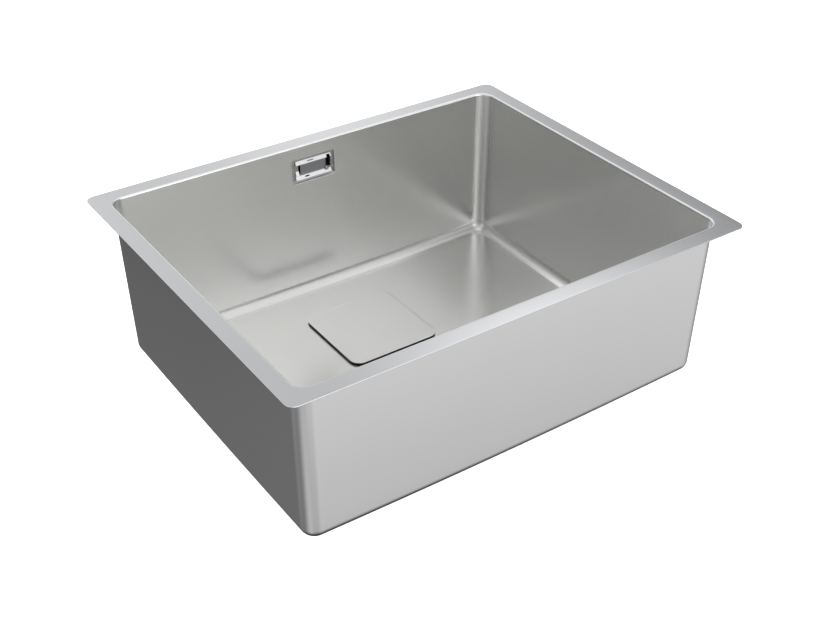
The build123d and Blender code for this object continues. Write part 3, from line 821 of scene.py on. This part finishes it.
def makeInsert():
    # Two bars that slope up and back, a leg at the left, and an opening at each end of the plate
    left, right, top, low = insert["left"], insert["right"], insert["top"], insert["low"]
    windowLeft, windowRight = insert["windowLeft"], insert["windowRight"]
    windowTop, windowLow = insert["windowTop"], insert["windowLow"]
    lowStart, lowEnd = insert["lowStart"], insert["lowEnd"]
    legTop, legStart = insert["legTop"], insert["legStart"]
    bodyX, bodyZ, bodyFront = insert["bodyX"], insert["bodyZ"], insert["bodyFront"]
    middle, side = -overflow["drop"], insert["side"]
    ahead, behind = insert["front"] - past, insert["back"] + past
    outerLeft, outerRight = left - nearPast, right + nearPast
    face = (left, right, low, top, insert["corner"])
    block = spanBlock(*face, insert["front"], bodyFront + insert["joint"])
    body = wallBlock(0, middle, bodyX, bodyZ, insert["bodyCorner"], bodyFront, insert["back"])
    cuts = [
        slopeWedge(insert["topStart"], top, top + nearPast, outerLeft, outerRight),
        slopeWedge(lowStart, lowEnd, windowLow + insert["lowShelf"], windowLeft, outerRight),
        slopeWedge(lowStart, lowEnd, legStart, outerLeft, windowLeft + hair),
        slopeWedge(legStart, legTop, legTop + 1, outerLeft, windowLeft + hair),
    ]
    corner = insert["windowCorner"]
    window = (windowLeft, windowRight, windowLow, windowTop, corner)
    cuts.append(spanBlock(*window, ahead, behind))
    slit = (insert["barEnd"], windowRight, windowLow, top - insert["topRim"], corner)
    cuts.append(spanBlock(*slit, ahead, behind))
    gap = (left - past, windowLeft + 1, legTop, windowTop, insert["legCorner"])
    cuts.append(spanBlock(*gap, ahead, bodyFront + insert["legDepth"]))
    pocket = (bodyX - side, bodyZ - side, insert["pocketCorner"], insert["pocketFront"])
    cuts.append(wallBlock(0, middle, *pocket, behind))
    for x, z, halfX, halfZ, depth in (insert["topSlot"], insert["lowSlot"]):
        cuts.append(wallBlock(x, z, halfX, halfZ, halfZ - hair, ahead, depth))
    place, radius, hole = insert["screwAt"], insert["bossRadius"], insert["screwHole"]
    seat, bossEnd = insert["screwSeat"], insert["shelf"] + insert["bossDepth"]
    boss = wallBlock(*place, radius, radius, radius - hair, seat, bossEnd, 8)
    hole = wallBlock(*place, hole, hole, hole - hair, ahead, behind)
    changes = [("UNION", body), *[("DIFFERENCE", cut) for cut in cuts]]
    changes += [("UNION", boss), ("DIFFERENCE", hole)]
    mesh = carve("overflow_insert", block, changes, insert["edge"])
    return addPiece("overflow_insert", mesh, "chrome", "sink", replaced=["overflow_frame"])


makeInsert()


def hoop(middle, side, lift, radius, count):
    # Ring of points round a middle
    angles = [tau * k / count for k in range(count)]
    return [middle + radius * (math.cos(a) * side + math.sin(a) * lift) for a in angles]


def turned(profile, origin, along, count=32):
    # A block turned about an axis: radii and reaches along it, closed at both ends
    axis, start = Vector(along), Vector(origin)
    side = axis.orthogonal().normalized()
    lift = axis.cross(side)
    rings = [hoop(start + axis * reach, side, lift, radius, count) for radius, reach in profile]
    return capRings(rings)


plate = {
    "left": -16.3, "right": 17.7, "low": -36.9, "top": -25.3, "corner": 0.35, "edge": 0.28,
    "front": 201.65, "thick": 1.1, "back": 203.45, "screwGap": 0.3,
    # left, right, low and top of the tongue, and its corner
    "tongue": (-5.0, 6.3, -37.5, -25.1, 0.3),
}


def makePlate():
    # The bare plate between the bars, cut out round the screw, with a tongue behind it
    front, back = plate["front"], plate["front"] + plate["thick"]
    face = (plate["left"], plate["right"], plate["low"], plate["top"], plate["corner"])
    tongue = spanBlock(*plate["tongue"], back - hair, plate["back"])
    clear = insert["bossRadius"] + plate["screwGap"]
    size = (clear, clear, clear - hair, front - past, back + past)
    notch = wallBlock(*insert["screwAt"], *size, 8)
    changes = [("UNION", tongue), ("DIFFERENCE", notch)]
    mesh = carve("overflow_plate_bar", spanBlock(*face, front, back), changes, plate["edge"])
    return addPiece("overflow_plate_bar", mesh, "dark_chrome", "sink", replaced=["overflow_plate"])


screw = {
    "head": 2.3, "headHeight": 1.2, "headRound": 0.7, "headCrown": 0.6, "headFlat": 0.2,
    "headBevel": 0.1, "shank": 1.4, "neck": 0.05, "length": 13.0, "tip": 0.3, "taper": 1.0,
    "threadDepth": 0.3, "threadStart": 0.3, "threadLess": 1.4, "pitch": 0.9,
    "threadReaches": (0, 0.3, 0.45, 0.75),
    "drive": 1.3, "driveWidth": 0.42, "driveCorner": 0.12, "driveDepth": 0.7,
    "driveAhead": 3.0, "edge": 0.05,
}


def makeScrew():
    # Pan head with a crossed drive, and a threaded shank
    seat, head, high = insert["screwSeat"], screw["head"], screw["headHeight"]
    shank, length, curve = screw["shank"], screw["length"], screw["headRound"]
    root = shank - screw["threadDepth"]
    profile = [(screw["headFlat"], -high)]
    for angle in steps(tau / 4, 0, 6):
        reach = -high + screw["headCrown"] * (1 - math.sin(angle))
        profile.append((head - curve + curve * math.cos(angle), reach))
    bevel = screw["headBevel"]
    profile += [(head, -bevel), (head - bevel, 0), (root, screw["neck"])]
    for k in range(round((length - screw["threadLess"]) / screw["pitch"])):
        start = screw["threadStart"] + k * screw["pitch"]
        turn = zip((root, shank, shank, root), screw["threadReaches"])
        profile += [(radius, start + reach) for radius, reach in turn]
    profile += [(root, length - screw["taper"]), (screw["tip"], length)]
    x, z = insert["screwAt"]
    long, narrow = screw["drive"], screw["driveWidth"] / 2
    start, end = seat - screw["driveAhead"], seat - high + screw["driveDepth"]
    changes = []
    for half in ((long, narrow), (narrow, long)):
        arm = wallBlock(x, z, *half, screw["driveCorner"], start, end, 3)
        changes.append(("DIFFERENCE", arm))
    block = turned(profile, (x, seat, z), (0, 1, 0))
    mesh = carve("overflow_screw_head", block, changes, screw["edge"], 1, False)
    return addPiece("overflow_screw_head", mesh, "chrome", "sink", 50.0, ["overflow_screw"])


makePlate()
makeScrew()
print("overflow insert, plate and screw made")


def nodeBlock(name):
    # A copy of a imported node's shape, in millimetres, with its flat faces whole again
    source = bmesh.new()
    source.from_mesh(frame["nodes"][name].data)
    bmesh.ops.remove_doubles(source, verts=source.verts, dist=carving["merge"])
    flat = math.radians(carving["flatAngle"])
    bmesh.ops.dissolve_limit(source, angle_limit=flat, verts=source.verts, edges=source.edges)
    points = [vert.co / mm for vert in source.verts]
    faces = [[vert.index for vert in face.verts] for face in source.faces]
    source.free()
    return points, faces


waste = {
    "outletRadius": 23.9, "outletEnd": -285.4, "threadTop": -262.5, "pitch": 2.309,
    "threadDepth": 1.2, "threadSteps": 40, "runIn": 0.02,
    # how far the groove stands out, and its half widths there, at the mouth and at the root
    "grooveOut": 0.8, "grooveHalves": (0.48, 0.36, 0.03),
    "bodyEdge": 0.25, "housingEdge": 0.45, "nutEdge": 0.5,
}


def threadGroove():
    # The groove that a cutter leaves round the outlet, as a solid running down the helix
    radius, pitch, around = waste["outletRadius"], waste["pitch"], waste["threadSteps"]
    wide, mouth, root = waste["grooveHalves"]
    turns = (waste["threadTop"] - waste["outletEnd"] + pitch) / pitch
    rings = []
    for k in range(round(turns * around) + 1):
        angle = tau * k / around
        z = waste["threadTop"] - pitch * k / around
        depth = waste["threadDepth"] * min(1, k / around + waste["runIn"])
        upper = [(waste["grooveOut"], wide), (0.0, mouth), (-depth, root)]
        ring = []
        for reach, height in upper + [(reach, -height) for reach, height in upper[::-1]]:
            x = (radius + reach) * math.cos(angle)
            y = bowl["drainBack"] + (radius + reach) * math.sin(angle)
            ring.append((x, y, z + height * pitch))
        rings.append(ring)
    return capRings(rings)


def makeWaste():
    # The moulded parts under the bowl, with their edges rounded and the outlet's thread cut
    thread = [("DIFFERENCE", threadGroove())]
    made = {
        "waste_body": ("waste_body_moulding", thread, waste["bodyEdge"], 1, False),
        "overflow_housing": ("overflow_housing_moulding", [], waste["housingEdge"]),
        "union_nuts": ("union_nut_pair", [], waste["nutEdge"]),
    }
    for node, (name, *shape) in made.items():
        mesh = carve(name, nodeBlock(node), *shape)
        angle = 40.0 if node == "waste_body" else None
        addPiece(name, mesh, "waste_plastic", "sink", angle, [node])


makeWaste()
print("waste, housing and nuts made")

hose = {
    "y": 216.0, "top": -62.3, "inletZ": -223.4, "end": 141.5, "bend": 54.0, "bore": 7.4,
    "valley": 8.3, "rib": 9.95, "pitch": 3.4, "plainEnd": 22.0,
    "collar": 2.0, "collarRadius": 9.9, "collarEdge": 0.1,
    "around": 28, "ribSteps": 8, "boreSteps": 40,
}
hoseDrop = hose["top"] - hose["inletZ"] - hose["bend"]
hoseQuarter = hose["bend"] * tau / 4


def hosePlace(reach):
    # Middle and heading of the hose at a length from its upper end
    if reach < hoseDrop:
        return Vector((0, hose["y"], hose["top"] - reach)), Vector((0, 0, -1))
    if reach < hoseDrop + hoseQuarter:
        angle = (reach - hoseDrop) / hose["bend"]
        y = hose["y"] - hose["bend"] * (1 - math.cos(angle))
        z = hose["inletZ"] + hose["bend"] * (1 - math.sin(angle))
        return Vector((0, y, z)), Vector((0, -math.sin(angle), -math.cos(angle)))
    y = hose["y"] - hose["bend"] - (reach - hoseDrop - hoseQuarter)
    return Vector((0, y, hose["inletZ"])), Vector((0, -1, 0))


def makeHose():
    # A bore and a ribbed outside with a collar at each end, swept along the way
    total = hoseDrop + hoseQuarter + hose["y"] - hose["bend"] - hose["end"]
    ribbed = total - 2 * hose["plainEnd"]
    ribSteps, ribHeight = hose["ribSteps"], hose["rib"] - hose["valley"]
    divisions = int(ribbed / hose["pitch"]) * ribSteps
    bore, valley, collar = hose["bore"], hose["valley"], hose["collar"]
    wide, edge = hose["collarRadius"], hose["collarEdge"]
    profile = [(0, bore), (0, wide), (collar, wide), (collar + edge, valley)]
    for k in range(divisions + 1):
        wave = 0.5 - 0.5 * math.cos(tau * k / ribSteps)
        lift = wave * wave * (3 - 2 * wave)
        profile.append((hose["plainEnd"] + ribbed * k / divisions, valley + ribHeight * lift))
    profile += [(total - collar - edge, valley), (total - collar, wide), (total, wide)]
    profile += [(reach, bore) for reach in steps(total, 0, hose["boreSteps"])[:-1]]
    side = Vector((1, 0, 0))
    rings = []
    for reach, radius in profile:
        middle, heading = hosePlace(reach)
        rings.append(hoop(middle, side, heading.cross(side), radius, hose["around"]))
    shape = (*joinRings(rings), "hose_plastic", "sink", 55.0)
    return makePiece("overflow_hose_ribbed", *shape, ["overflow_hose"])


makeHose()
print("overflow hose made")

stage = {
    "floorZ": -285.6, "floorHalf": 6000.0, "dark": (0.9, 0.9, 0.9), "light": (0.93, 0.93, 0.93),
    "grain": 40.0, "roughness": 0.9, "glow": 1.0,
}
white = (1, 1, 1, 1)


def makeFloor():
    # A pale floor that glows white, under the outlet's end
    half, z = stage["floorHalf"] * mm, stage["floorZ"] * mm
    corners = [(-half, -half, z), (half, -half, z), (half, half, z), (-half, half, z)]
    mesh = bpy.data.meshes.new("studioFloor")
    mesh.from_pydata(corners, [], [(0, 1, 2, 3)])
    material, shader = newMaterial("paleFloor")
    paper = shader.noise(shader.places(), stage["grain"])
    shader.surface(
        Base_Color=shader.mixColour(paper, stage["dark"], stage["light"]),
        Roughness=stage["roughness"],
        Emission_Color=white,
        Emission_Strength=stage["glow"],
    )
    mesh.materials.append(material)
    floor = bpy.data.objects.new("studioFloor", mesh)
    bpy.context.scene.collection.objects.link(floor)
    floor.visible_glossy = False


makeFloor()

# Soft lights all round. Azimuth 0 is along +Y and grows towards +X, and the angles are in degrees.
studio = {
    # azimuth, elevation, strength and sharpness
    "glows": [
        (0.0, 82.3, 0.880, 18), (-85.0, 72.7, 0.800, 18), (-89.7, 19.7, 1.100, 18),
        (-174.7, 17.5, 0.900, 18), (-154.6, 8.9, 0.760, 18), (-102.1, 5.7, 1.100, 18),
        (35.4, 4.7, 0.850, 18), (172.9, 3.6, 1.100, 18), (-167.0, -4.7, 0.820, 18),
        (44.0, 38.0, 1.041, 160), (-4.7, 21.9, 0.979, 18), (-12.4, 49.0, 0.974, 18),
        (30.7, -32.4, 0.968, 18), (-159.4, -27.6, 0.750, 18), (160.5, -9.9, 0.956, 18),
        (157.6, 55.8, 0.860, 18), (92.6, 40.2, 0.847, 18), (72.6, 52.3, 0.787, 18),
        (165.2, 26.5, 0.737, 18), (63.1, -26.5, 0.731, 18), (52.5, 69.4, 0.620, 18),
        (-119.3, -49.0, 0.652, 18), (-162.3, 32.4, 0.610, 18), (-64.9, 54.0, 0.587, 18),
        (115.6, -30.0, 0.498, 18), (148.1, -24.1, 0.477, 18), (30.0, 26.0, 0.455, 160),
        (125.1, 47.4, 0.395, 18), (7.7, 37.5, 0.368, 18), (155.8, -52.3, 0.360, 18),
        (10.6, -23.0, 0.326, 18), (-24.8, 31.2, 0.304, 18), (-117.4, 59.7, 0.281, 18),
        (128.0, -15.3, 0.264, 18), (37.0, 32.0, 0.241, 160), (168.2, -33.7, 0.229, 18),
        (-54.3, -34.9, 0.190, 18), (-78.0, -27.0, 0.150, 18), (-34.3, -45.9, 0.110, 18),
        (38.0, 0.0, 0.500, 30), (27.0, 39.0, 0.070, 160),
    ],
    # azimuth, elevation, strength, half width and half height
    "panels": [
        (185.0, 15.0, 1.100, 15.0, 13.0), (155.0, 15.0, 0.914, 15.0, 13.0),
    ],
    "softWidth": 5.0, "softHeight": 8.0,
}


def sky(azimuth, elevation):
    # Direction to a place in the sky
    a, e = math.radians(azimuth), math.radians(elevation)
    return math.sin(a) * math.cos(e), math.cos(a) * math.cos(e), math.sin(e)


def dotWith(shader, heading, axis):
    settings, sockets = {"operation": "DOT_PRODUCT"}, {0: heading, 1: axis}
    return shader.node("ShaderNodeVectorMath", settings, sockets, 1)


def softEdge(offset, half, soft):
    # 1 within the half width, falling smoothly to 0 over the soft edge
    low, high = math.radians(half - soft / 2), math.radians(half + soft / 2)
    settings = {"clamp": True, "interpolation_type": "SMOOTHSTEP"}
    sockets = {"Value": offset.maths("ABSOLUTE", offset), 1: low, 2: high, 3: 1.0, 4: 0.0}
    return offset.shader.node("ShaderNodeMapRange", settings, sockets)


def lightWorld():
    # Light from the glows and panels, and plain white where the camera looks at it
    world = bpy.data.worlds.new("studioWorld")
    bpy.context.scene.world = world
    shader = Shader(world)
    heading = shader.node("ShaderNodeTexCoord", output=0)
    glows = []
    for azimuth, elevation, strength, sharpness in studio["glows"]:
        power = (dotWith(shader, heading, sky(azimuth, elevation)) - 1.0) * sharpness
        glows.append(strength * power.maths("EXPONENT", power))
    rise = dotWith(shader, heading, (0, 0, 1))
    rise = rise.maths("ARCSINE", rise)
    for azimuth, elevation, strength, halfWidth, halfHeight in studio["panels"]:
        ahead = dotWith(shader, heading, sky(azimuth, 0))
        aside = dotWith(shader, heading, sky(azimuth + 90, 0))
        width = softEdge(aside.maths("ARCTAN2", aside, ahead), halfWidth, studio["softWidth"])
        height = softEdge(rise - math.radians(elevation), halfHeight, studio["softHeight"])
        glows.append(strength * width * height)
    lit = shader.node("ShaderNodeBackground", None, {"Color": white, "Strength": sum(glows)})
    plain = shader.node("ShaderNodeBackground", None, {"Color": white, "Strength": 1.0})
    seen = shader.node("ShaderNodeLightPath", output=0)
    mixed = shader.node("ShaderNodeMixShader", None, {0: seen, 1: lit, 2: plain})
    shader.node("ShaderNodeOutputWorld", None, {"Surface": mixed})


lightWorld()

# Fitted to the photo. Angles are in radians, and the focal length in pixels of its width.
camera = {
    "place": (-650.94, -959.06, 649.74), "pitch": 0.5881, "yaw": 0.5997, "focal": 1264.6,
    "imageWidth": 826, "sensor": 36.0, "nearest": 0.05, "furthest": 50.0,
}


def makeCamera():
    lens = bpy.data.cameras.new("photoCamera")
    lens.sensor_width = camera["sensor"]
    lens.lens = camera["sensor"] * camera["focal"] / camera["imageWidth"]
    lens.clip_start, lens.clip_end = camera["nearest"], camera["furthest"]
    made = bpy.data.objects.new("photoCamera", lens)
    bpy.context.scene.collection.objects.link(made)
    made.location = Vector(camera["place"]) * mm
    made.rotation_euler = (tau / 4 - camera["pitch"], 0, -camera["yaw"])
    bpy.context.scene.camera = made


makeCamera()
bpy.context.scene.view_settings.view_transform = "Standard"
print("floor, lights and camera placed")
